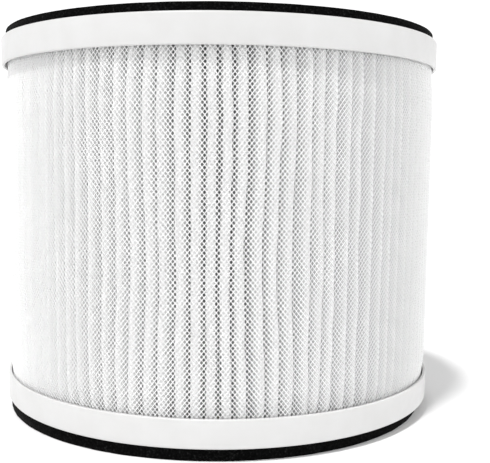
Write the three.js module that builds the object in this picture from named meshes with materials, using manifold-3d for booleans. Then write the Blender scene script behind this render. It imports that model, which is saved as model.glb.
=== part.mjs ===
// A round replacement filter for an air purifier: a pleated particle filter in a net sleeve, a bed of
// activated carbon inside it, a moulded cap at each end and a foam gasket on each cap.
// Millimetres, +Z up. The axis is Z, and the origin is the centre of the lower gasket's underside.

import * as THREE from "three";
import { mergeVertices } from "three/addons/utils/BufferGeometryUtils.js";
import Module from "manifold-3d";

// ---- Driving dimensions ----

const OUTER_RADIUS = 90; // the end caps, the widest pieces
const BORE_RADIUS = 52; // the air's way out through both caps

const LOWER_GASKET_HEIGHT = 4.4; // the lower gasket carries the cartridge, and is the thicker one
const UPPER_GASKET_HEIGHT = 2.9;
const TAPE_HEIGHT = 0.2;
const LOWER_CAP_HEIGHT = 10.6;
const UPPER_CAP_HEIGHT = 10.7;
const OPEN_HEIGHT = 123.8; // the net that shows between the two caps

const CAP_WALL = 1.2; // the outer skirt
const CAP_WEB = 1.8; // the flat ring that carries the gasket
const INNER_SKIRT_WALL = 1.4;
const INNER_SKIRT_HEIGHT = 7.4;
const CAP_EDGE_FILLET = 0.9; // between the web and the outer skirt
const SKIRT_LIP_FILLET = 0.5;
const POTTING_DEPTH = 2; // the adhesive that the pack stands in

const GASKET_OUTER_RADIUS = 88.2;
const GASKET_INNER_RADIUS = 72;
const TAPE_MARGIN = 1; // the tape stops short of the gasket's edges

const PLEAT_COUNT = 102;
const PLEAT_OUTER_RADIUS = 87.4; // middle of the sheet at an outer fold
const PLEAT_INNER_RADIUS = 63.4; // middle of the sheet at an inner fold
const PLEAT_FOLD_SHARE = 0.16; // the flat of a fold, as a share of the space from fold to fold
const MEDIA_THICKNESS = 0.36;

const NET_THICKNESS = 0.4;
const NET_END_RADIUS = 88.3; // outside, where the caps hold it
const NET_BULGE = 0.8; // how much the sleeve widens towards its middle
const NET_BULGE_STEPS = 4;
const SEAM_WIDTH = 7; // where the sleeve's two edges are welded over each other
const SEAM_ANGLE = THREE.MathUtils.degToRad(120);
const SEAM_THICKNESS = 0.52; // the welded overlap is slightly thicker than the net beside it, on the inside
const SEAM_GAP = 0.3;

const CAGE_INNER_RADIUS = 53.8;
const CAGE_WALL = 1.8;
const CAGE_COLUMNS = 18;
const CAGE_ROWS = 7;
const CAGE_BAR = 2.6; // the solid bars between the cage's windows

const LAYER_GAP = 0.15; // between the layers that are wrapped on each other
const CARBON_NET_THICKNESS = 0.4;
const CARBON_BED_DEPTH = 5.6;

const JOINT_STRIP_DEPTH = 13; // the bead that closes the pleated sheet into a ring
const JOINT_STRIP_WIDTH = 1.2;
const JOINT_STRIP_INSET = 2; // how far its outer edge is inside the outer folds

const CUTTER_DEPTH = 8; // deeper than any wall that is cut
const ROUND_SEGMENTS = 60;
const FILLET_STEPS = 2;

// ---- Levels and radii that follow from them ----

const lowerCapFace = LOWER_GASKET_HEIGHT + TAPE_HEIGHT;
const lowerSkirtLip = lowerCapFace + LOWER_CAP_HEIGHT;
const upperSkirtLip = lowerSkirtLip + OPEN_HEIGHT;
const upperCapFace = upperSkirtLip + UPPER_CAP_HEIGHT;
const topFace = upperCapFace + TAPE_HEIGHT + UPPER_GASKET_HEIGHT;

const packBottom = lowerCapFace + CAP_WEB + POTTING_DEPTH;
const packTop = upperCapFace - CAP_WEB - POTTING_DEPTH;

const channelInnerRadius = BORE_RADIUS + INNER_SKIRT_WALL;
const channelOuterRadius = OUTER_RADIUS - CAP_WALL;
const cageOuterRadius = CAGE_INNER_RADIUS + CAGE_WALL;
const innerNetRadius = cageOuterRadius + LAYER_GAP;
const carbonInnerRadius = innerNetRadius + CARBON_NET_THICKNESS + LAYER_GAP;
const carbonOuterRadius = carbonInnerRadius + CARBON_BED_DEPTH;
const outerNetRadius = carbonOuterRadius + LAYER_GAP;

// ---- Materials ----

function material(color, roughness) {
  return new THREE.MeshStandardMaterial({ color, roughness, metalness: 0 });
}

const capPlastic = material(0xf1f1f0, 0.42);
const gasketFoam = material(0x101010, 0.95);
const tapeFilm = material(0xd8d4c4, 0.5);
const adhesive = material(0xe9e4d3, 0.35);
const filterPaper = material(0xf4f4f2, 0.9);
const nylonNet = material(0xfafafa, 0.55);
const blackNet = material(0x1c1c1d, 0.7);
const carbonGranules = material(0x17171a, 0.8);
const cagePlastic = material(0x202022, 0.55);

// ---- Shapes ----

/** Turns a closed outline of [radius, height] points about Z. The outline runs anticlockwise. */
function turned(outline, segments = ROUND_SEGMENTS) {
  const points = [...outline, outline[0]].map(([radius, height]) => new THREE.Vector2(radius, height));
  return new THREE.LatheGeometry(points, segments).rotateX(Math.PI / 2);
}

/** A plain flat-ended ring. */
function ring(innerRadius, outerRadius, low, high, segments) {
  const outline = [
    [innerRadius, low],
    [outerRadius, low],
    [outerRadius, high],
    [innerRadius, high],
  ];
  return turned(outline, segments);
}

/** Rounds the corners of a closed outline. A corner is [radius, height, fillet]. */
function filleted(corners) {
  const outline = [];
  corners.forEach(([radius, height, fillet = 0], index) => {
    if (fillet === 0) {
      outline.push([radius, height]);
      return;
    }
    const before = corners[(index + corners.length - 1) % corners.length];
    const after = corners[(index + 1) % corners.length];
    const corner = new THREE.Vector2(radius, height);
    const towards = ([r, h]) => new THREE.Vector2(r, h).sub(corner).setLength(fillet);
    const start = corner.clone().add(towards(before));
    const end = corner.clone().add(towards(after));
    const centre = start.clone().add(towards(after));
    for (let step = 0; step <= FILLET_STEPS; step += 1) {
      const turn = (step / FILLET_STEPS) * (Math.PI / 2);
      const fromCentre = start.clone().sub(centre).multiplyScalar(Math.cos(turn));
      fromCentre.add(end.clone().sub(centre).multiplyScalar(Math.sin(turn)));
      const point = centre.clone().add(fromCentre);
      outline.push([point.x, point.y]);
    }
  });
  return outline;
}

/** An end cap: a flat ring with an outer and an inner skirt. up is 1 for the lower cap and -1 for the upper. */
function endCap(face, height, up) {
  const at = (radius, rise, fillet) => [radius, face + up * rise, fillet];
  const corners = [
    at(BORE_RADIUS, 0, CAP_EDGE_FILLET / 2),
    at(OUTER_RADIUS, 0, CAP_EDGE_FILLET),
    at(OUTER_RADIUS, height, SKIRT_LIP_FILLET),
    at(channelOuterRadius, height),
    at(channelOuterRadius, CAP_WEB),
    at(channelInnerRadius, CAP_WEB),
    at(channelInnerRadius, INNER_SKIRT_HEIGHT),
    at(BORE_RADIUS, INNER_SKIRT_HEIGHT),
  ];
  return turned(filleted(up > 0 ? corners : corners.reverse()));
}

/** The folded sheet seen from above: a closed wave of flat-topped pleats, moved sideways by offset. */
function pleatLoop(offset) {
  const middle = [];
  const pitch = (2 * Math.PI) / PLEAT_COUNT;
  const fold = (pitch * PLEAT_FOLD_SHARE) / 2;
  for (let pleat = 0; pleat < PLEAT_COUNT; pleat += 1) {
    const tip = pleat * pitch;
    const root = tip + pitch / 2;
    for (const [radius, angle] of [
      [PLEAT_OUTER_RADIUS, tip - fold],
      [PLEAT_OUTER_RADIUS, tip + fold],
      [PLEAT_INNER_RADIUS, root - fold],
      [PLEAT_INNER_RADIUS, root + fold],
    ]) {
      middle.push(new THREE.Vector2(radius * Math.cos(angle), radius * Math.sin(angle)));
    }
  }
  return middle.map((point, index) => {
    const before = middle[(index + middle.length - 1) % middle.length];
    const after = middle[(index + 1) % middle.length];
    const arriving = point.clone().sub(before).normalize();
    const leaving = after.clone().sub(point).normalize();
    const along = arriving.clone().add(leaving).normalize();
    const outward = new THREE.Vector2(along.y, -along.x);
    const mitre = outward.x * arriving.y - outward.y * arriving.x;
    return point.clone().addScaledVector(outward, offset / mitre);
  });
}

function pleatedSheet() {
  const shape = new THREE.Shape(pleatLoop(MEDIA_THICKNESS / 2));
  shape.holes.push(new THREE.Path(pleatLoop(-MEDIA_THICKNESS / 2)));
  const settings = { depth: packTop - packBottom, bevelEnabled: false };
  return new THREE.ExtrudeGeometry(shape, settings).translate(0, 0, packBottom);
}

/** The bead between two pleats at the back, along +Y. */
function jointStrip() {
  const height = packTop - packBottom;
  const middle = PLEAT_OUTER_RADIUS - JOINT_STRIP_INSET - JOINT_STRIP_DEPTH / 2;
  const box = new THREE.BoxGeometry(JOINT_STRIP_WIDTH, JOINT_STRIP_DEPTH, height);
  return box.translate(0, middle, packBottom + height / 2);
}

/** The outside of the net sleeve from bottom to top: held straight by the caps, and bulging between them. */
function netSide(radius) {
  const side = [[radius, packBottom]];
  for (let step = 0; step <= NET_BULGE_STEPS; step += 1) {
    const share = step / NET_BULGE_STEPS;
    const bulge = NET_BULGE * Math.sin(Math.PI * share);
    side.push([radius + bulge, lowerSkirtLip + OPEN_HEIGHT * share]);
  }
  side.push([radius, packTop]);
  return side;
}

function netTube(innerRadius, outerRadius) {
  return turned([...netSide(outerRadius), ...netSide(innerRadius).reverse()]);
}

// ---- Cutting ----

const wasm = await Module();
wasm.setup();

function toSolid(geometry) {
  const bare = geometry.clone();
  bare.deleteAttribute("normal");
  bare.deleteAttribute("uv");
  const merged = mergeVertices(bare, 1e-4);
  const vertProperties = new Float32Array(merged.attributes.position.array);
  const triVerts = new Uint32Array(merged.index.array);
  return new wasm.Manifold(new wasm.Mesh({ numProp: 3, vertProperties, triVerts }));
}

function toGeometry(solid) {
  const mesh = solid.getMesh();
  const geometry = new THREE.BufferGeometry();
  geometry.setAttribute("position", new THREE.BufferAttribute(new Float32Array(mesh.vertProperties), 3));
  geometry.setIndex(new THREE.BufferAttribute(new Uint32Array(mesh.triVerts), 1));
  geometry.computeVertexNormals();
  return geometry;
}

/** A block that reaches through the sleeve's wall at the seam, and past both its ends. */
function seamBlock(width) {
  const block = new THREE.BoxGeometry(CUTTER_DEPTH, width, topFace);
  block.translate(NET_END_RADIUS, 0, topFace / 2);
  return toSolid(block.rotateZ(SEAM_ANGLE));
}

function netSleeve() {
  const tube = toSolid(netTube(NET_END_RADIUS - NET_THICKNESS, NET_END_RADIUS));
  return toGeometry(tube.subtract(seamBlock(SEAM_WIDTH)));
}

/** The strip where the sleeve's edges lie over each other, a small gap away from the net on both sides. */
function netSeam() {
  const tube = toSolid(netTube(NET_END_RADIUS - SEAM_THICKNESS, NET_END_RADIUS));
  return toGeometry(tube.intersect(seamBlock(SEAM_WIDTH - 2 * SEAM_GAP)));
}

/** A moulded tube with rows of windows. */
function innerCage() {
  const height = packTop - packBottom;
  const rowHeight = (height - CAGE_BAR) / CAGE_ROWS;
  const columnAngle = (2 * Math.PI) / CAGE_COLUMNS;
  const windowWidth = CAGE_INNER_RADIUS * columnAngle - CAGE_BAR;
  const windowHeight = rowHeight - CAGE_BAR;
  const tube = ring(CAGE_INNER_RADIUS, cageOuterRadius, packBottom, packTop, 2 * CAGE_COLUMNS);
  let cage = toSolid(tube);
  for (let column = 0; column < CAGE_COLUMNS; column += 1) {
    for (let row = 0; row < CAGE_ROWS; row += 1) {
      const cutter = new THREE.BoxGeometry(CUTTER_DEPTH, windowWidth, windowHeight);
      const level = packBottom + CAGE_BAR / 2 + rowHeight * (row + 0.5);
      cutter.translate(CAGE_INNER_RADIUS + CAGE_WALL / 2, 0, level);
      cutter.rotateZ(columnAngle * (column + 0.5));
      cage = cage.subtract(toSolid(cutter));
    }
  }
  return toGeometry(cage);
}

// ---- Assembly ----

const group = new THREE.Group();

function add(name, geometry, surface) {
  const mesh = new THREE.Mesh(geometry, surface.clone());
  mesh.name = name;
  group.add(mesh);
}

function addGasket(side, low, high) {
  add(`${side}_gasket`, ring(GASKET_INNER_RADIUS, GASKET_OUTER_RADIUS, low, high), gasketFoam);
}

function addTape(side, low) {
  const inner = GASKET_INNER_RADIUS + TAPE_MARGIN;
  const outer = GASKET_OUTER_RADIUS - TAPE_MARGIN;
  add(`${side}_gasket_tape`, ring(inner, outer, low, low + TAPE_HEIGHT), tapeFilm);
}

function addPotting(side, low) {
  add(`${side}_potting`, ring(channelInnerRadius, channelOuterRadius, low, low + POTTING_DEPTH), adhesive);
}

function addLayer(name, innerRadius, thickness, surface) {
  add(name, ring(innerRadius, innerRadius + thickness, packBottom, packTop), surface);
}

addGasket("lower", 0, LOWER_GASKET_HEIGHT);
addTape("lower", LOWER_GASKET_HEIGHT);
add("lower_end_cap", endCap(lowerCapFace, LOWER_CAP_HEIGHT, 1), capPlastic);
addPotting("lower", lowerCapFace + CAP_WEB);

add("inner_cage", innerCage(), cagePlastic);
addLayer("carbon_inner_net", innerNetRadius, CARBON_NET_THICKNESS, blackNet);
addLayer("carbon_bed", carbonInnerRadius, CARBON_BED_DEPTH, carbonGranules);
addLayer("carbon_outer_net", outerNetRadius, CARBON_NET_THICKNESS, blackNet);
add("pleated_media", pleatedSheet(), filterPaper);
add("media_joint_strip", jointStrip(), adhesive);
add("prefilter_net", netSleeve(), nylonNet);
add("prefilter_net_seam", netSeam(), nylonNet);

addPotting("upper", packTop);
add("upper_end_cap", endCap(upperCapFace, UPPER_CAP_HEIGHT, -1), capPlastic);
addTape("upper", upperCapFace);
addGasket("upper", upperCapFace + TAPE_HEIGHT, topFace);

export default group;
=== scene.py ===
"""A round filter cartridge for an air purifier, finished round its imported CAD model.

Metres, +Z up, the CAD's own frame. Lengths written with MM are millimetres.
"""

import math

import bpy
import numpy as np
from mathutils import Matrix, Vector


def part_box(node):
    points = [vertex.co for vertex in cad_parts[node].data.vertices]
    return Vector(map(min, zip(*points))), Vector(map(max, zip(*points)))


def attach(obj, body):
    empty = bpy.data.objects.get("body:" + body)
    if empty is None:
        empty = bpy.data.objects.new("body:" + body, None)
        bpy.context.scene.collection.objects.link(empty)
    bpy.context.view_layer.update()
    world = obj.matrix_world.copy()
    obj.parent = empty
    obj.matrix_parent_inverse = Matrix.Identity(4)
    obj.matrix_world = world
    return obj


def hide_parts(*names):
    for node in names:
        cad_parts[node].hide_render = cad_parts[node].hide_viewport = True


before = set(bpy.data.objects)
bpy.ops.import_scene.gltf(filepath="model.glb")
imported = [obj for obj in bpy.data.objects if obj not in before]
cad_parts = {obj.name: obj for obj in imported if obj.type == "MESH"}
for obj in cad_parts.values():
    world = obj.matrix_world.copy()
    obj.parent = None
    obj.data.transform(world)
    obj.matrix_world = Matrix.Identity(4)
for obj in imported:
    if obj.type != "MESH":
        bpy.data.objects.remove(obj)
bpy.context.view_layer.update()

MM = 0.001
SEED = 517
TURN = 2 * math.pi

# ---- Camera: where the viewer stands, and the lens ----

CAMERA_DISTANCE = 357.9 * MM
CAMERA_HEIGHT = 101.9 * MM
CAMERA_TURN = math.radians(1.2)
CAMERA_DIP = math.radians(6.6)
CAMERA_ROLL = math.radians(0.48)
CAMERA_LENS = 60.2
CAMERA_SHIFT = (0.0184, 0.05)

# ---- Light ----

SUN_ELEVATION = math.radians(70.6)
SUN_SIDE = math.radians(36)  # towards the viewer's left, from straight over the viewer's shoulder
SUN_SPREAD = math.radians(6)
SUN_STRENGTH = 2.2
HORIZON_STRENGTH = 1.32
ZENITH_STRENGTH = 0.25
FILL_SPREAD = math.radians(80)
FILLS = {  # the direction towards each soft side light, and its strength
    "left_fill": ((-1, -0.4, 0.2), 0.5),
    "right_fill": ((1, -0.5, 0.2), 0.75),
}
BACKDROP_STRENGTH = 1.1
BACKDROP_RADIUS = 4.0

# ---- The pack ----

PLEAT_COUNT = 102
PLEAT_PITCH = TURN / PLEAT_COUNT
TIP_ROUND = 1.42 * MM
ROOT_ROUND = 0.6 * MM
PLEAT_ROOT_RADIUS = 63.3 * MM
MEDIA_THICKNESS = 0.36 * MM
PACK_ROWS = 36
JOINT_VALLEY = 25.5  # the sheet's joint lies in the valley between these two pleats, along +Y

NET_THREAD_WIDTH = 0.35 * MM
NET_THREAD_DEPTH = 0.22 * MM
NET_THREADS = 344  # in each of the two directions
NET_RUN = 0.81  # how far a thread runs sideways for each unit of height
NET_SAG = 0.25 * MM  # how far a thread sinks between two pleats
NET_TO_TIP = 0.22 * MM
NET_HELD_RADIUS = 88.3 * MM  # where the caps hold the sleeve
NET_FREE_RADIUS = 89.1 * MM
NET_MEAN_RADIUS = 89 * MM
NET_TUCK = 1 * MM  # how far inside the caps the sleeve starts to widen
NET_WIDENS_BELOW = 9 * MM
NET_WIDENS_ABOVE = 16 * MM
SLACK_LEVEL = 66 * MM
SLACK_REACH = 34 * MM
SLACK_DEPTH = 1.0 * MM
PINCH_REACH = 9 * MM
PINCH_DEPTH = 0.7 * MM
SLACK_SIDE = math.radians(4)  # from the viewer's left towards the viewer
SLACK_ENDS = 8 * MM

SEAM_ANGLE = math.radians(120)
SEAM_WIDTH = 6.4 * MM
SEAM_THICKNESS = 0.3 * MM
SEAM_RISE = 0.12 * MM
SEAM_EDGE = 1 * MM
SEAM_COLUMNS = 17
WELD_PITCH = 1.6 * MM
WELD_DEPTH = 0.16 * MM

BEAD_ROWS = 70
BEAD_STEPS = 28
BEAD_WIDTH_SHARE = 0.88  # of the CAD strip's width, as its swellings reach past this
BEAD_DEPTH_SHARE = 0.96
BEAD_SQUARENESS = 0.6

CARBON_NET_PITCH = 1.9 * MM
CARBON_NET_WIDTH = 0.55 * MM
CARBON_NET_DEPTH = 0.35 * MM
CARBON_NET_WEAVE = 0.05 * MM
CARBON_NET_STEPS = 96
RING_THREAD_RISE = 0.06 * MM
GRANULE_SPACING = 2.8 * MM
GRANULE_RADIUS = 1.6 * MM
GRANULE_ROOM = 1.1 * GRANULE_RADIUS  # from a granule's middle to what holds it
GRANULE_ROW_SHARE = 0.88  # the rows lie in each other's gaps, so they are closer than the spacing
ROUND_SEGMENTS = 60  # of the CAD's rings, which are flat between their corners

CAGE_COLUMNS = 18
CAGE_ROWS = 7
CAGE_BAR = 2.6 * MM
CAGE_CORNER = 2.2 * MM
CAGE_CHAMFER = 0.35 * MM

SKIRT_WALL = 1.2 * MM
WEB = 1.8 * MM
INNER_SKIRT_WALL = 1.4 * MM
INNER_SKIRT_HEIGHT = 7.4 * MM

GASKET_EDGE = 0.45 * MM
GASKET_SEGMENTS = 720
LOWER_GASKET_RADIUS = 87.6 * MM
LOWER_GASKET_OFFSET = (-1.2 * MM, -0.5 * MM)

FINE_SEGMENTS = 480


# ---- Reading the frame ----


def node_radii(node):
    """The smallest and largest distance of a CAD node's corners from the axis."""
    corners = np.array([v.co[:2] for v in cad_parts[node].data.vertices])
    distance = np.hypot(corners[:, 0], corners[:, 1])
    return float(distance.min()), float(distance.max())


def node_heights(node):
    low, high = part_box(node)
    return low.z, high.z


pack_low, pack_high = node_heights("pleated_media")
lower_lip = node_heights("lower_end_cap")[1]
upper_lip = node_heights("upper_end_cap")[0]


# ---- Making meshes ----


def add_piece(name, points, faces, material, smooth=True):
    """A mesh object on the root body."""
    mesh = bpy.data.meshes.new(name)
    mesh.from_pydata(np.asarray(points).tolist(), [], [list(face) for face in faces])
    mesh.validate()
    mesh.polygons.foreach_set("use_smooth", [smooth] * len(mesh.polygons))
    mesh.materials.append(material)
    mesh.update()
    piece = bpy.data.objects.new(name, mesh)
    bpy.context.scene.collection.objects.link(piece)
    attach(piece, "root")
    return piece


def grid_faces(rows, columns, close_rows=False, close_columns=False, first=0):
    """Quads of a grid of points, row by row."""
    row = np.arange(rows if close_rows else rows - 1)[:, None]
    column = np.arange(columns if close_columns else columns - 1)[None, :]
    next_row = (row + 1) % rows
    next_column = (column + 1) % columns
    a = row * columns + column
    b = row * columns + next_column
    c = next_row * columns + next_column
    d = next_row * columns + column
    return np.stack([a, b, c, d], axis=-1).reshape(-1, 4) + first


def turned(outline, segments=FINE_SEGMENTS):
    """Turns a closed outline of (radius, height) about Z. The outline runs anticlockwise."""
    outline = np.asarray(outline)
    angle = np.linspace(0, TURN, segments, endpoint=False)[:, None]
    x = outline[None, :, 0] * np.cos(angle)
    y = outline[None, :, 0] * np.sin(angle)
    z = np.broadcast_to(outline[None, :, 1], x.shape)
    points = np.stack([x, y, z], axis=-1).reshape(-1, 3)
    return points, grid_faces(segments, len(outline), True, True)


def filleted(corners, steps=6):
    """Rounds the corners of a closed outline. A corner is (radius, height, fillet)."""
    outline = []
    for index, (radius, height, fillet) in enumerate(corners):
        corner = np.array([radius, height])
        if fillet == 0:
            outline.append(corner)
            continue
        before = np.array(corners[index - 1][:2]) - corner
        after = np.array(corners[(index + 1) % len(corners)][:2]) - corner
        before *= fillet / np.linalg.norm(before)
        after *= fillet / np.linalg.norm(after)
        centre = corner + before + after
        for share in np.linspace(0, 1, steps + 1):
            turn = share * math.pi / 2
            outline.append(centre - after * math.cos(turn) - before * math.sin(turn))
    return np.array(outline)


def split_long(outline, longest):
    """Adds points to a closed outline until no stretch is longer than longest."""
    result = []
    for start, end in zip(outline, np.roll(outline, -1, axis=0)):
        pieces = max(1, math.ceil(np.linalg.norm(end - start) / longest))
        for step in range(pieces):
            result.append(start + (end - start) * step / pieces)
    return np.array(result)


def waves(points, size, seed, count=24):
    """Smooth seeded noise from -1 to 1: a sum of plane waves of about the given length."""
    rng = np.random.default_rng(seed)
    directions = rng.normal(size=(count, 3))
    directions /= np.linalg.norm(directions, axis=1)[:, None]
    lengths = size * rng.uniform(0.6, 1.7, count)
    phases = rng.uniform(0, TURN, count)
    total = np.zeros(len(points))
    for direction, length, phase in zip(directions, lengths, phases):
        total += np.sin(points @ direction * (TURN / length) + phase)
    return np.clip(total / math.sqrt(count) / 1.4, -1, 1)


# ---- Materials ----


class Surface:
    """A Principled material and the texture nodes that feed it."""

    def __init__(self, name, roughness, specular=0.5):
        self.material = bpy.data.materials.new(name)
        self.material.use_nodes = True
        self.tree = self.material.node_tree
        self.shader = self.tree.nodes["Principled BSDF"]
        self.shader.inputs["Roughness"].default_value = roughness
        self.shader.inputs["Specular IOR Level"].default_value = specular
        self.place = self.tree.nodes.new("ShaderNodeTexCoord").outputs["Object"]

    def link(self, output, node, socket):
        self.tree.links.new(output, node.inputs[socket])

    def stretched(self, scale):
        """The object's coordinates, scaled differently along each axis."""
        mapping = self.tree.nodes.new("ShaderNodeMapping")
        mapping.inputs["Scale"].default_value = scale
        self.link(self.place, mapping, "Vector")
        return mapping.outputs["Vector"]

    def noise(self, size, detail=3.0, place=None):
        """Noise with features of about the given size in metres."""
        node = self.tree.nodes.new("ShaderNodeTexNoise")
        node.inputs["Scale"].default_value = 1 / size
        node.inputs["Detail"].default_value = detail
        self.link(place or self.place, node, "Vector")
        return node.outputs["Fac"]

    def cells(self, size):
        """The distance from the middle of rounded cells of about the given size in metres."""
        node = self.tree.nodes.new("ShaderNodeTexVoronoi")
        node.inputs["Scale"].default_value = 1 / size
        self.link(self.place, node, "Vector")
        return node.outputs["Distance"]

    def ramp(self, value, stops, socket):
        """Feeds a socket from a value by (position, colour) stops."""
        node = self.tree.nodes.new("ShaderNodeValToRGB")
        elements = node.color_ramp.elements
        while len(elements) < len(stops):
            elements.new(0.5)
        for element, (position, colour) in zip(elements, stops):
            element.position = position
            element.color = (*colour, 1)
        self.link(value, node, "Fac")
        self.tree.links.new(node.outputs["Color"], self.shader.inputs[socket])

    def bump(self, height, depth):
        """Adds a bump of the given depth in metres on top of the bumps before it."""
        node = self.tree.nodes.new("ShaderNodeBump")
        node.inputs["Distance"].default_value = depth
        node.inputs["Strength"].default_value = 1
        self.link(height, node, "Height")
        normal = self.shader.inputs["Normal"]
        if normal.links:
            self.link(normal.links[0].from_socket, node, "Normal")
        self.tree.links.new(node.outputs["Normal"], normal)


def grey(value, warmth=0.0):
    return (value, value * (1 - warmth * 0.4), value * (1 - warmth))


def cap_plastic():
    """Moulded white plastic: satin, with a fine spark-eroded grain and faint flow marks."""
    surface = Surface("cap_plastic", 0.38)
    whites = [(0.35, grey(0.6, 0.012)), (0.65, grey(0.62, 0.006))]
    surface.ramp(surface.noise(9 * MM, 4), whites, "Base Color")
    surface.ramp(surface.noise(2.5 * MM, 5), [(0.3, grey(0.33)), (0.7, grey(0.45))], "Roughness")
    surface.bump(surface.noise(0.25 * MM, 2), 0.012 * MM)
    surface.bump(surface.noise(14 * MM, 1), 0.05 * MM)
    return surface.material


def filter_paper():
    """Melt-blown fibre sheet: matt white, cloudy where the fibres lie thicker."""
    surface = Surface("filter_paper", 0.92, 0.4)
    surface.shader.inputs["Sheen Weight"].default_value = 0.6
    surface.shader.inputs["Sheen Roughness"].default_value = 0.5
    surface.shader.inputs["Subsurface Weight"].default_value = 0.8
    surface.shader.inputs["Subsurface Radius"].default_value = (1, 1, 1)
    surface.shader.inputs["Subsurface Scale"].default_value = 1.4 * MM
    whites = [(0.3, grey(0.96, 0.006)), (0.7, grey(0.985, 0.002))]
    surface.ramp(surface.noise(1.6 * MM, 5), whites, "Base Color")
    fibres = surface.stretched((1, 1, 0.25))
    surface.bump(surface.noise(0.12 * MM, 4, fibres), 0.03 * MM)
    surface.bump(surface.noise(0.9 * MM, 3), 0.05 * MM)
    return surface.material


def nylon_net():
    """White nylon thread: smooth, with a soft gloss and slight unevenness along it."""
    surface = Surface("nylon_net", 0.42, 0.5)
    surface.shader.inputs["Sheen Weight"].default_value = 0.6
    surface.shader.inputs["Sheen Roughness"].default_value = 0.4
    surface.ramp(surface.noise(1.1 * MM, 2), [(0.3, grey(0.93)), (0.7, grey(0.96))], "Base Color")
    surface.bump(surface.noise(0.3 * MM, 2), 0.015 * MM)
    return surface.material


def welded_net():
    """Net threads fused into a film: less white than the threads, and clouded by air in the weld."""
    surface = Surface("welded_net", 0.5, 0.4)
    surface.ramp(surface.noise(2 * MM, 4), [(0.35, grey(0.58)), (0.65, grey(0.68))], "Base Color")
    surface.ramp(surface.noise(0.8 * MM, 3), [(0.3, grey(0.4)), (0.7, grey(0.62))], "Roughness")
    surface.bump(surface.noise(0.4 * MM, 3), 0.03 * MM)
    return surface.material


def gasket_foam():
    """Black sponge with cut pores and a dusty bloom."""
    surface = Surface("gasket_foam", 1.0, 0.03)
    surface.shader.inputs["Sheen Weight"].default_value = 0.04
    surface.shader.inputs["Sheen Roughness"].default_value = 0.3
    surface.ramp(
        surface.noise(0.7 * MM, 6),
        [(0.4, grey(0.0015)), (0.58, grey(0.004)), (0.72, grey(0.02))],
        "Base Color",
    )
    surface.bump(surface.cells(0.45 * MM), 0.12 * MM)
    surface.bump(surface.noise(0.2 * MM, 3), 0.05 * MM)
    return surface.material


def tape_film():
    """Adhesive film: yellowish, with small trapped bubbles."""
    surface = Surface("tape_film", 0.45)
    yellows = [(0.3, (0.62, 0.58, 0.48)), (0.7, (0.7, 0.67, 0.58))]
    surface.ramp(surface.noise(3 * MM, 3), yellows, "Base Color")
    surface.bump(surface.cells(0.8 * MM), 0.02 * MM)
    return surface.material


def adhesive():
    """Set hot-melt glue: creamy and glossy, with flow waves and a few bubbles."""
    surface = Surface("adhesive", 0.25)
    creams = [(0.3, (0.78, 0.73, 0.6)), (0.7, (0.85, 0.82, 0.72))]
    surface.ramp(surface.noise(5 * MM, 3), creams, "Base Color")
    surface.ramp(surface.noise(2 * MM, 2), [(0.3, grey(0.2)), (0.7, grey(0.35))], "Roughness")
    surface.bump(surface.noise(3 * MM, 2), 0.2 * MM)
    surface.bump(surface.cells(1.5 * MM), 0.03 * MM)
    return surface.material


def cage_plastic():
    """Black moulded plastic with a satin grain and worn, slightly greyer patches."""
    surface = Surface("cage_plastic", 0.5)
    surface.ramp(surface.noise(6 * MM, 4), [(0.35, grey(0.016)), (0.7, grey(0.026))], "Base Color")
    surface.ramp(surface.noise(1.5 * MM, 3), [(0.3, grey(0.42)), (0.7, grey(0.58))], "Roughness")
    surface.bump(surface.noise(0.2 * MM, 2), 0.012 * MM)
    return surface.material


def black_net():
    """Black nylon net thread, greyed by carbon dust."""
    surface = Surface("black_net", 0.6, 0.4)
    surface.ramp(surface.noise(1.2 * MM, 3), [(0.35, grey(0.014)), (0.7, grey(0.03))], "Base Color")
    surface.bump(surface.noise(0.3 * MM, 2), 0.02 * MM)
    return surface.material


def carbon_granules():
    """Activated carbon: near black, rough, with dull and glinting faces."""
    surface = Surface("carbon_granules", 0.7)
    surface.ramp(
        surface.noise(2.2 * MM, 3),
        [(0.35, grey(0.009)), (0.6, grey(0.022)), (0.75, grey(0.04))],
        "Base Color",
    )
    surface.ramp(surface.noise(1.1 * MM, 3), [(0.35, grey(0.35)), (0.65, grey(0.85))], "Roughness")
    surface.bump(surface.noise(0.35 * MM, 5), 0.12 * MM)
    return surface.material


# ---- Pieces: caps and gaskets ----


def add_cap(name, node, up, material):
    """An end cap as turned from its outline. up is 1 for the lower cap and -1 for the upper."""
    low, high = node_heights(node)
    face = low if up > 0 else high
    height = high - low
    bore, outer = node_radii(node)

    def at(radius, rise, fillet=0.0):
        return (radius, face + up * rise, fillet)

    corners = [
        at(bore, 0, 0.5 * MM),
        at(outer, 0, 0.9 * MM),
        at(outer, height, 0.5 * MM),
        at(outer - SKIRT_WALL, height, 0.2 * MM),
        at(outer - SKIRT_WALL, WEB),
        at(bore + INNER_SKIRT_WALL, WEB),
        at(bore + INNER_SKIRT_WALL, INNER_SKIRT_HEIGHT, 0.3 * MM),
        at(bore, INNER_SKIRT_HEIGHT, 0.3 * MM),
    ]
    outline = filleted(corners if up > 0 else corners[::-1])
    points, faces = turned(outline)
    piece = add_piece(name, points, faces, material)
    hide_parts(node)


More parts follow.
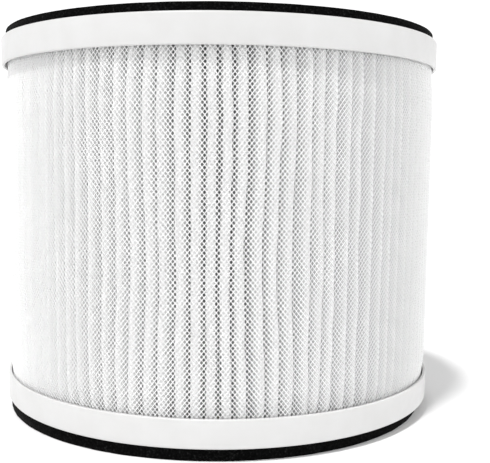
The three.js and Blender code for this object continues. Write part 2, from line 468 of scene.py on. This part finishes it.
def add_gasket(name, node, material, seed, outer=None, offset=(0, 0)):
    """A die-cut foam ring with soft edges and slightly uneven sides, moved sideways by offset."""
    low, high = node_heights(node)
    inner, node_outer = node_radii(node)
    outer = outer or node_outer
    corners = [
        (inner, low, GASKET_EDGE),
        (outer, low, GASKET_EDGE),
        (outer, high, GASKET_EDGE),
        (inner, high, GASKET_EDGE),
    ]
    outline = split_long(filleted(corners, 4), 1.6 * MM)
    points, faces = turned(outline, GASKET_SEGMENTS)
    push = waves(points, 7 * MM, seed) * 0.1 * MM + waves(points, 1.6 * MM, seed + 1) * 0.05 * MM
    away = points[:, :2] / np.linalg.norm(points[:, :2], axis=1)[:, None]
    middle = (inner + outer) / 2
    side = np.sign(np.hypot(points[:, 0], points[:, 1]) - middle)
    points[:, :2] += away * (push * side)[:, None] + offset
    piece = add_piece(name, points, faces, material)
    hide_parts(node)


# ---- Shape of the sleeve and its pleats ----

pleat_random = np.random.default_rng(SEED)


def pleat_table(spread, neighbours):
    """One random value for each pleat, shared between neighbours, and repeating round the pack."""
    values = pleat_random.normal(size=PLEAT_COUNT)
    if neighbours > 0:
        offset = np.arange(PLEAT_COUNT)
        offset = np.minimum(offset, PLEAT_COUNT - offset)
        weight = np.exp(-0.5 * (offset / neighbours) ** 2)
        values = np.real(np.fft.ifft(np.fft.fft(values) * np.fft.fft(weight)))
        values /= values.std()
    return spread * np.clip(values, -2, 2)


pleat_shift = pleat_table(0.075, 0) + pleat_table(0.12, 2)
pleat_lean = pleat_table(0.12, 2)
pleat_sway = pleat_table(0.06, 1)
pleat_sway_phase = pleat_table(1.2, 2)
pleat_ripple = pleat_table(0.03, 0.6)
pleat_ripple_phase = pleat_table(1.5, 0)
pleat_shiver = pleat_table(0.016, 0)
pleat_shiver_phase = pleat_table(3, 0)
pleat_depth = pleat_table(0.16 * MM, 0)
SWAY_LENGTH = 95 * MM
RIPPLE_LENGTH = 38 * MM
SHIVER_LENGTH = 17 * MM
CALM_PLEATS = 3.0  # how far the sheet's joint keeps the pleats beside it straight


def blended(table, phase):
    """A pleat table read between pleats."""
    before = np.floor(phase).astype(int)
    share = phase - before
    return table[before % PLEAT_COUNT] * (1 - share) + table[(before + 1) % PLEAT_COUNT] * share


def pleat_angle(phase, height):
    """The angle round the axis of a place in the pack.

    Whole phases are outer folds, and the halves between them are valleys.
    """
    rise = (height - pack_low) / (pack_high - pack_low) - 0.5
    shift = blended(pleat_shift, phase) + blended(pleat_lean, phase) * rise
    shift = shift + blended(pleat_sway, phase) * np.sin(
        TURN * height / SWAY_LENGTH + blended(pleat_sway_phase, phase)
    )
    shift = shift + blended(pleat_ripple, phase) * np.sin(
        TURN * height / RIPPLE_LENGTH + blended(pleat_ripple_phase, phase)
    )
    shift = shift + blended(pleat_shiver, phase) * np.sin(
        TURN * height / SHIVER_LENGTH + blended(pleat_shiver_phase, phase)
    )
    from_joint = (phase - JOINT_VALLEY + PLEAT_COUNT / 2) % PLEAT_COUNT - PLEAT_COUNT / 2
    shift = shift * (1 - np.exp(-((from_joint / CALM_PLEATS) ** 2)))
    return (phase + shift) * PLEAT_PITCH


def smooth_step(value):
    value = np.clip(value, 0, 1)
    return value * value * (3 - 2 * value)


def sleeve_radius(angle, height):
    """The net's outer surface: drawn in where the caps hold it, and slightly slack between them."""
    from_below = smooth_step((height - lower_lip + NET_TUCK) / NET_WIDENS_BELOW)
    from_above = smooth_step((upper_lip + NET_TUCK - height) / NET_WIDENS_ABOVE)
    radius = NET_HELD_RADIUS + (NET_FREE_RADIUS - NET_HELD_RADIUS) * from_below * from_above
    slack = np.exp(-(((height - SLACK_LEVEL) / SLACK_REACH) ** 2)) * SLACK_DEPTH
    pinch = np.exp(-(((height - upper_lip) / PINCH_REACH) ** 2)) * PINCH_DEPTH
    left = np.clip(-np.cos(angle - SLACK_SIDE), 0, 1) ** 5
    above_lower = smooth_step((height - lower_lip) / SLACK_ENDS)
    below_upper = smooth_step((upper_lip - height) / SLACK_ENDS)
    return radius + left * (slack * above_lower * below_upper - pinch)


def around(radius, angle, height):
    return np.stack([radius * np.cos(angle), radius * np.sin(angle), height], axis=-1)


# ---- Pieces: the pleated sheet ----

TIP_STEPS = 7
FLANK_STEPS = 1
ROOT_STEPS = 4


def pleat_rows():
    """The middle of the folded sheet, one closed row of points for each height."""
    rows = []
    flank = np.arange(1, FLANK_STEPS + 1) / (FLANK_STEPS + 1)
    tip_turn = np.linspace(-math.pi / 2, math.pi / 2, TIP_STEPS)
    root_turn = np.linspace(-math.pi / 2, math.pi / 2, ROOT_STEPS)
    for height in np.linspace(pack_low, pack_high, PACK_ROWS):
        pleats = np.arange(PLEAT_COUNT)
        tip_at = pleat_angle(pleats.astype(float), height)
        root_at = pleat_angle(pleats + 0.5, height)
        tip_centre = sleeve_radius(tip_at, height) - NET_TO_TIP - MEDIA_THICKNESS - TIP_ROUND
        tip_centre = tip_centre - np.abs(pleat_depth)
        row = []
        for pleat in range(PLEAT_COUNT):
            radial = np.array([math.cos(tip_at[pleat]), math.sin(tip_at[pleat])])
            aside = np.array([-radial[1], radial[0]])
            tip = radial * (tip_centre[pleat] + TIP_ROUND * np.cos(tip_turn))[:, None]
            tip = tip + aside * (TIP_ROUND * np.sin(tip_turn))[:, None]
            radial = np.array([math.cos(root_at[pleat]), math.sin(root_at[pleat])])
            aside = np.array([-radial[1], radial[0]])
            root = radial * (PLEAT_ROOT_RADIUS + ROOT_ROUND * (1 - np.cos(root_turn)))[:, None]
            root = root + aside * (ROOT_ROUND * np.sin(root_turn))[:, None]
            row.append((tip, root))
        points = []
        for pleat, (tip, root) in enumerate(row):
            next_tip = row[(pleat + 1) % PLEAT_COUNT][0]
            points.append(tip)
            points.append(tip[-1] + (root[0] - tip[-1]) * flank[:, None])
            points.append(root)
            points.append(root[-1] + (next_tip[0] - root[-1]) * flank[:, None])
        rows.append(np.concatenate(points))
    return np.array(rows)


def thick_wall(rows, heights, thickness):
    """A closed wall along the rows of middle points, with rims at its top and bottom."""
    along = np.roll(rows, -1, axis=1) - np.roll(rows, 1, axis=1)
    along /= np.linalg.norm(along, axis=2)[..., None]
    outward = np.stack([along[..., 1], -along[..., 0]], axis=-1)
    level = np.broadcast_to(heights[:, None, None], (*rows.shape[:2], 1))
    outer = np.concatenate([rows + outward * thickness / 2, level], axis=2)
    inner = np.concatenate([rows - outward * thickness / 2, level], axis=2)
    count, columns = rows.shape[:2]
    skin = grid_faces(count, columns, close_columns=True)
    back = skin[:, ::-1] + count * columns
    last = (count - 1) * columns
    here = np.arange(columns)
    there = (here + 1) % columns
    inside = count * columns
    bottom = np.stack([there, here, here + inside, there + inside], axis=1)
    top = np.stack([here + last, there + last, there + last + inside, here + last + inside], axis=1)
    points = np.concatenate([outer.reshape(-1, 3), inner.reshape(-1, 3)])
    return points, np.concatenate([skin, back, bottom, top])


def add_pleats(material):
    rows = pleat_rows()
    heights = np.linspace(pack_low, pack_high, PACK_ROWS)
    points, faces = thick_wall(rows, heights, MEDIA_THICKNESS)
    piece = add_piece("pleated_sheet", points, faces, material)
    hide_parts("pleated_media")
    return piece


# ---- Pieces: nets ----


def thread_tube(path, outward, width, depth):
    """A thread with three sides along a path, which is its middle. Its ridge faces outward."""
    ahead = np.gradient(path, axis=0)
    ahead /= np.linalg.norm(ahead, axis=1)[:, None]
    aside = np.cross(ahead, outward)
    left = path + aside * width / 2 - outward * depth / 3
    right = path - aside * width / 2 - outward * depth / 3
    ridge = path + outward * depth * 2 / 3
    return np.stack([left, ridge, right], axis=1).reshape(-1, 3)


def tube_faces(count, closed=False):
    """Faces of a three-sided tube with count sections, and its two ends if it is open."""
    faces = grid_faces(count, 3, close_rows=closed, close_columns=True)
    quads = [tuple(face[::-1]) for face in faces]
    if closed:
        return quads
    last = 3 * (count - 1)
    return [*quads, (0, 1, 2), (last + 2, last + 1, last)]


def sleeve_thread(start_angle, direction):
    """The path of one thread of the sleeve, with a point on each pleat and one over each valley."""
    per_height = direction * NET_RUN / NET_MEAN_RADIUS
    low_phase = start_angle / PLEAT_PITCH
    high_phase = (start_angle + per_height * (pack_high - pack_low)) / PLEAT_PITCH
    first, last = sorted((low_phase, high_phase))
    phase = np.arange(math.ceil(first * 2) - 1, math.floor(last * 2) + 2) / 2
    if direction < 0:
        phase = phase[::-1]
    height = pack_low + (phase * PLEAT_PITCH - start_angle) / per_height
    for _ in range(4):
        height = pack_low + (pleat_angle(phase, height) - start_angle) / per_height
    inside = (height > pack_low) & (height < pack_high)
    phase = phase[inside]
    height = height[inside]
    angle = start_angle + per_height * (height - pack_low)
    valley = np.abs(phase - np.round(phase)) * 2
    radius = sleeve_radius(angle, height) - NET_THREAD_DEPTH * 2 / 3 - NET_SAG * valley
    outward = around(np.ones(len(angle)), angle, np.zeros(len(angle)))
    return around(radius, angle, height), outward


def add_sleeve(material):
    """The net sleeve: two sets of threads that cross each other all the way round."""
    points = []
    faces = []
    first = 0
    for direction in (1, -1):
        for thread in range(NET_THREADS):
            path, outward = sleeve_thread(TURN * thread / NET_THREADS, direction)
            tube = thread_tube(path, outward, NET_THREAD_WIDTH, NET_THREAD_DEPTH)
            points.append(tube)
            faces += [tuple(first + corner for corner in face) for face in tube_faces(len(path))]
            first += len(tube)
    piece = add_piece("prefilter_sleeve", np.concatenate(points), faces, material)
    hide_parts("prefilter_net")
    return piece


def add_seam(material):
    """The welded strip where the sleeve's two edges overlap, embossed by the welding tool."""
    rows = round((pack_high - pack_low) / (WELD_PITCH / 4)) + 1
    columns = SEAM_COLUMNS
    height = np.linspace(pack_low, pack_high, rows)[:, None]
    across = np.linspace(-SEAM_WIDTH / 2, SEAM_WIDTH / 2, columns)[None, :]
    angle = SEAM_ANGLE + across / NET_MEAN_RADIUS + 0 * height
    level = height + 0 * across
    rising = np.cos(TURN * (level + across) / WELD_PITCH / 2)
    falling = np.cos(TURN * (level - across) / WELD_PITCH / 2)
    edge = smooth_step((SEAM_WIDTH / 2 - np.abs(across)) / SEAM_EDGE)
    depth = WELD_DEPTH * smooth_step(rising * falling * 1.5 - 0.2) * edge
    outer = sleeve_radius(angle, level) + SEAM_RISE * edge - depth
    face = around(outer, angle, level)
    back = around(outer - SEAM_THICKNESS, angle, level)
    points = np.concatenate([face.reshape(-1, 3), back.reshape(-1, 3)])
    front_faces = grid_faces(rows, columns)
    back_faces = front_faces[:, ::-1] + rows * columns
    rim = np.concatenate(
        [
            np.arange(columns),
            np.arange(1, rows) * columns + columns - 1,
            np.arange(columns - 2, -1, -1) + (rows - 1) * columns,
            np.arange(rows - 2, 0, -1) * columns,
        ]
    )
    after = np.roll(rim, -1)
    rim_faces = np.stack([after, rim, rim + rows * columns, after + rows * columns], axis=1)
    faces = np.concatenate([front_faces, back_faces, rim_faces])
    piece = add_piece("sleeve_seam", points, faces, material)
    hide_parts("prefilter_net_seam")
    return piece


def add_joint_bead(material):
    """The bead of glue that closes the folded sheet into a ring, squeezed between two pleats."""
    low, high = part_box("media_joint_strip")
    turn = np.linspace(0, TURN, BEAD_STEPS, endpoint=False)[None, :]
    height = np.linspace(low.z, high.z, BEAD_ROWS)[:, None]
    along = np.stack([0 * height[:, 0], 0 * height[:, 0], height[:, 0]], axis=-1)
    swell = 1 + 0.12 * waves(along, 11 * MM, SEED + 30, 8)[:, None]
    reach = 1 + 0.03 * waves(along, 19 * MM, SEED + 31, 8)[:, None]
    half_width = (high.x - low.x) / 2 * BEAD_WIDTH_SHARE
    half_depth = (high.y - low.y) / 2 * BEAD_DEPTH_SHARE
    aside = np.sign(np.cos(turn)) * np.abs(np.cos(turn)) ** BEAD_SQUARENESS
    x = (low.x + high.x) / 2 + half_width * swell * aside
    y = (low.y + high.y) / 2 + half_depth * reach * np.sin(turn)
    z = height + 0 * x
    points = np.stack([x, y, z], axis=-1).reshape(-1, 3)
    faces = [tuple(face) for face in grid_faces(BEAD_ROWS, BEAD_STEPS, close_columns=True)]
    faces.append(tuple(range(BEAD_STEPS - 1, -1, -1)))
    faces.append(tuple(range((BEAD_ROWS - 1) * BEAD_STEPS, BEAD_ROWS * BEAD_STEPS)))
    piece = add_piece("joint_bead", points, faces, material)
    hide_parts("media_joint_strip")


# ---- Pieces: carbon stage ----


def add_carbon_net(name, node, material):
    """A square net of thick black threads, wrapped round a layer."""
    inner = node_radii(node)[0]
    low, high = node_heights(node)
    radius = inner / math.cos(math.pi / ROUND_SEGMENTS) + CARBON_NET_DEPTH / 3
    uprights = round(TURN * radius / CARBON_NET_PITCH)
    rings = round((high - low) / CARBON_NET_PITCH) - 1
    points = []
    faces = []
    first = 0
    level = np.linspace(low, high, 2 * rings + 1)
    weave = CARBON_NET_WEAVE * np.sin(np.arange(len(level)) * math.pi / 2)
    for upright in range(uprights):
        angle = np.full(len(level), TURN * upright / uprights)
        path = around(radius + weave * (-1) ** upright, angle, level)
        outward = around(np.ones(len(level)), angle, np.zeros(len(level)))
        points.append(thread_tube(path, -outward, CARBON_NET_WIDTH, CARBON_NET_DEPTH))
        faces += [tuple(first + corner for corner in face) for face in tube_faces(len(level))]
        first += 3 * len(level)
    steps = CARBON_NET_STEPS
    angle = np.linspace(0, TURN, steps, endpoint=False)
    outward = around(np.ones(steps), angle, np.zeros(steps))
    for ring in range(rings):
        height = low + (high - low) * (ring + 1) / (rings + 1)
        path = around(np.full(steps, radius + RING_THREAD_RISE), angle, np.full(steps, height))
        points.append(thread_tube(path, -outward, CARBON_NET_WIDTH, CARBON_NET_DEPTH))
        faces += [tuple(first + corner for corner in face) for face in tube_faces(steps, closed=True)]
        first += 3 * steps
    piece = add_piece(name, np.concatenate(points), faces, material)
    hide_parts(node)
    return piece, (high - low, TURN * radius)


GOLDEN = (1 + math.sqrt(5)) / 2


def icosahedron():
    """The corners and faces of a regular icosahedron of radius 1."""
    corners = []
    for a in (-1, 1):
        for b in (-GOLDEN, GOLDEN):
            corners += [(0, a, b), (a, b, 0), (b, 0, a)]
    corners = np.array(corners) / math.hypot(1, GOLDEN)
    near = 2 / math.hypot(1, GOLDEN) + 0.01
    faces = []
    for a in range(12):
        for b in range(a + 1, 12):
            for c in range(b + 1, 12):
                sides = (corners[a] - corners[b], corners[b] - corners[c], corners[c] - corners[a])
                if max(np.linalg.norm(side) for side in sides) < near:
                    turn = np.dot(np.cross(corners[b] - corners[a], corners[c] - corners[a]), corners[a])
                    faces.append((a, b, c) if turn > 0 else (a, c, b))
    return corners, np.array(faces)


def add_carbon_bed(material):
    """A packed bed of carbon: loose grains on the side that shows, on a core that holds the rest."""
    inner, outer = node_radii("carbon_bed")
    low, high = node_heights("carbon_bed")
    random = np.random.default_rng(SEED + 40)
    inner_face = inner / math.cos(math.pi / ROUND_SEGMENTS)
    core_inner = inner_face + GRANULE_RADIUS
    core_outer = outer * math.cos(math.pi / ROUND_SEGMENTS)
    core = [(core_inner, low), (core_outer, low), (core_outer, high), (core_inner, high)]
    core_points, core_faces = turned(core, 2 * ROUND_SEGMENTS)
    grain_radius = inner_face + GRANULE_ROOM
    columns = round(TURN * grain_radius / GRANULE_SPACING)
    rows = round((high - low - 2 * GRANULE_RADIUS) / (GRANULE_SPACING * GRANULE_ROW_SHARE))
    corners, sides = icosahedron()
    points = [core_points]
    faces = [tuple(face) for face in core_faces]
    first = len(core_points)
    for row in range(rows):
        for column in range(columns):
            angle = TURN * (column + 0.5 * (row % 2) + random.uniform(-0.25, 0.25)) / columns
            height = low + GRANULE_ROOM
            height += (high - low - 2 * GRANULE_ROOM) * (row + random.uniform(-0.2, 0.2)) / (rows - 1)
            height = min(max(height, low + GRANULE_ROOM), high - GRANULE_ROOM)
            axis = Vector(random.normal(size=3)).normalized()
            turn = np.array(Matrix.Rotation(random.uniform(0, TURN), 3, axis))
            shape = corners * random.uniform(0.72, 1.08, 3) * random.uniform(0.9, 1.06, (12, 1))
            points.append(shape @ turn.T * GRANULE_RADIUS + around(grain_radius, angle, height))
            faces += (sides + first).tolist()
            first += 12
    points = np.concatenate(points)
    piece = add_piece("carbon_grains", points, faces, material, smooth=False)
    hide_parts("carbon_bed")


def window_outline(half_width, half_height, corner, straight_steps=5, corner_steps=4):
    """A rounded rectangle's outline round (0, 0), with points along its straight sides too."""
    outline = []
    for quarter in range(4):
        across = half_width if quarter % 2 == 0 else half_height
        up = half_height if quarter % 2 == 0 else half_width
        turn = quarter * math.pi / 2
        spin = np.array([[math.cos(turn), -math.sin(turn)], [math.sin(turn), math.cos(turn)]])
        for rise in np.linspace(-(up - corner), up - corner, straight_steps, endpoint=False):
            outline.append(spin @ (across, rise))
        for step in range(corner_steps):
            bend = step / corner_steps * math.pi / 2
            point = (across - corner + corner * math.cos(bend), up - corner + corner * math.sin(bend))
            outline.append(spin @ point)
    return np.array(outline)


def pushed_out(outline, half_width, half_height):
    """The points of an outline moved straight away from the middle onto a larger rectangle."""
    distance = np.abs(outline).clip(1e-9)
    grow = np.minimum(half_width / distance[:, 0], half_height / distance[:, 1])
    return outline * grow[:, None]


def add_cage(material):
    """The moulded core: a tube of windows with rounded corners and softened edges."""
    inner, outer = node_radii("inner_cage")
    low, high = node_heights("inner_cage")
    cell_angle = TURN / CAGE_COLUMNS
    cell_height = (high - low - CAGE_BAR) / CAGE_ROWS
    middle = (inner + outer) / 2
    half_cell = (middle * cell_angle / 2, cell_height / 2)
    half_window = (half_cell[0] - CAGE_BAR / 2, half_cell[1] - CAGE_BAR / 2)
    window = window_outline(*half_window, CAGE_CORNER)
    wide = window_outline(
        half_window[0] + CAGE_CHAMFER, half_window[1] + CAGE_CHAMFER, CAGE_CORNER + CAGE_CHAMFER
    )
    cell = pushed_out(wide, *half_cell)
    layers = [  # from the inner face's cell edge through the window to the outer face's cell edge
        (cell, inner),
        (wide, inner),
        (window, inner + CAGE_CHAMFER),
        (window, outer - CAGE_CHAMFER),
        (wide, outer),
        (cell, outer),
    ]
    count = len(window)
    lower_edge = cell[:, 1] < -half_cell[1] + 1e-7
    upper_edge = cell[:, 1] > half_cell[1] - 1e-7
    points = []
    faces = []
    for column in range(CAGE_COLUMNS):
        for row in range(CAGE_ROWS):
            first = len(points) * len(layers) * count
            block = []
            for outline, radius in layers:
                angle = cell_angle * (column + 0.5) + outline[:, 0] / middle
                height = low + CAGE_BAR / 2 + cell_height * (row + 0.5) + outline[:, 1]
                if outline is cell and row == 0:
                    height[lower_edge] = low
                if outline is cell and row == CAGE_ROWS - 1:
                    height[upper_edge] = high
                block.append(around(np.full(count, radius), angle, height))
            points.append(np.concatenate(block))
            faces.append(grid_faces(len(layers), count, close_columns=True, first=first)[:, ::-1])
    piece = add_piece("cage", np.concatenate(points), np.concatenate(faces), material)
    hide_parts("inner_cage")


# ---- Scene ----


def add_camera():
    data = bpy.data.cameras.new("camera")
    data.sensor_width = 36
    data.lens = CAMERA_LENS
    data.shift_x, data.shift_y = CAMERA_SHIFT
    camera = bpy.data.objects.new("camera", data)
    turn = Matrix.Rotation(-CAMERA_TURN, 4, "Z")
    dip = Matrix.Rotation(math.pi / 2 - CAMERA_DIP, 4, "X")
    roll = Matrix.Rotation(CAMERA_ROLL, 4, "Z")
    place = Matrix.Translation((0, -CAMERA_DISTANCE, CAMERA_HEIGHT))
    camera.matrix_world = place @ turn @ dip @ roll
    bpy.context.scene.collection.objects.link(camera)
    bpy.context.scene.camera = camera


def add_sun(name, towards, strength, spread):
    data = bpy.data.lights.new(name, "SUN")
    data.energy = strength
    data.angle = spread
    lamp = bpy.data.objects.new(name, data)
    lamp.rotation_mode = "QUATERNION"
    lamp.rotation_quaternion = Vector(towards).to_track_quat("Z", "Y")
    bpy.context.scene.collection.objects.link(lamp)


def add_light():
    level = math.cos(SUN_ELEVATION)
    towards = (-level * math.sin(SUN_SIDE), -level * math.cos(SUN_SIDE), math.sin(SUN_ELEVATION))
    add_sun("key", towards, SUN_STRENGTH, SUN_SPREAD)
    for name, (direction, strength) in FILLS.items():
        add_sun(name, direction, strength, FILL_SPREAD)
    world = bpy.data.worlds.new("room")
    world.use_nodes = True
    nodes = world.node_tree.nodes
    direction = nodes.new("ShaderNodeTexCoord").outputs["Generated"]
    height = nodes.new("ShaderNodeSeparateXYZ")
    world.node_tree.links.new(direction, height.inputs["Vector"])
    strength = nodes.new("ShaderNodeMapRange")
    strength.inputs["To Min"].default_value = HORIZON_STRENGTH
    strength.inputs["To Max"].default_value = ZENITH_STRENGTH
    world.node_tree.links.new(height.outputs["Z"], strength.inputs["Value"])
    world.node_tree.links.new(strength.outputs["Result"], nodes["Background"].inputs["Strength"])
    nodes["Background"].inputs["Color"].default_value = (1, 1, 1, 1)
    bpy.context.scene.world = world


def stage_object(name, mesh, material):
    mesh.materials.append(material)
    thing = bpy.data.objects.new(name, mesh)
    bpy.context.scene.collection.objects.link(thing)
    return thing


def add_floor():
    surface = Surface("floor_paper", 0.8, 0.2)
    surface.ramp(surface.noise(0.3, 2), [(0.3, grey(0.93)), (0.7, grey(0.94))], "Base Color")
    mesh = bpy.data.meshes.new("floor")
    angle = np.linspace(0, TURN, 96, endpoint=False)
    rim = around(np.full(96, BACKDROP_RADIUS), angle, np.zeros(96))
    mesh.from_pydata(rim.tolist(), [], [list(range(96))])
    stage_object("floor", mesh, surface.material)


def add_backdrop():
    """A white dome that only the camera sees, so it lights nothing."""
    material = bpy.data.materials.new("backdrop_paper")
    material.use_nodes = True
    shader = material.node_tree.nodes["Principled BSDF"]
    shader.inputs["Base Color"].default_value = (0, 0, 0, 1)
    shader.inputs["Emission Color"].default_value = (1, 1, 1, 1)
    shader.inputs["Emission Strength"].default_value = BACKDROP_STRENGTH
    outline = [
        (BACKDROP_RADIUS * math.cos(turn), BACKDROP_RADIUS * math.sin(turn))
        for turn in np.linspace(-0.2, math.pi / 2, 24)
    ]
    segments = 64
    angle = np.linspace(0, TURN, segments, endpoint=False)[:, None]
    outline = np.array(outline)
    points = np.stack(
        [
            outline[None, :, 0] * np.cos(angle),
            outline[None, :, 0] * np.sin(angle),
            np.broadcast_to(outline[None, :, 1], (segments, len(outline))),
        ],
        axis=-1,
    ).reshape(-1, 3)
    mesh = bpy.data.meshes.new("backdrop")
    mesh.from_pydata(points.tolist(), [], grid_faces(segments, len(outline), close_rows=True).tolist())
    dome = stage_object("backdrop", mesh, material)
    dome.visible_diffuse = False
    dome.visible_glossy = False
    dome.visible_transmission = False
    dome.visible_volume_scatter = False
    dome.visible_shadow = False


add_camera()
add_light()
add_floor()
add_backdrop()
bpy.context.scene.view_settings.view_transform = "Standard"

white_plastic = cap_plastic()
paper = filter_paper()
white_net = nylon_net()
weld = welded_net()
foam = gasket_foam()
glue = adhesive()
film = tape_film()
black_plastic = cage_plastic()
black_thread = black_net()
carbon = carbon_granules()


add_cap("lower_cap", "lower_end_cap", 1, white_plastic)
add_cap("upper_cap", "upper_end_cap", -1, white_plastic)
add_gasket(
    "lower_foam_gasket", "lower_gasket", foam, SEED + 10, LOWER_GASKET_RADIUS, LOWER_GASKET_OFFSET
)
add_gasket("upper_foam_gasket", "upper_gasket", foam, SEED + 20)
pleats = add_pleats(paper)
sleeve = add_sleeve(white_net)
seam = add_seam(weld)
add_joint_bead(glue)
add_cage(black_plastic)
add_carbon_bed(carbon)
for name, node, under in (
    ("carbon_inner_mesh", "carbon_inner_net", "cage"),
    ("carbon_outer_mesh", "carbon_outer_net", "carbon_grains"),
):
    net, flat = add_carbon_net(name, node, black_thread)

for node, material in (
    ("lower_gasket_tape", film),
    ("upper_gasket_tape", film),
    ("lower_potting", glue),
    ("upper_potting", glue),
):
    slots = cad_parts[node].data.materials
    slots.clear()
    slots.append(material)
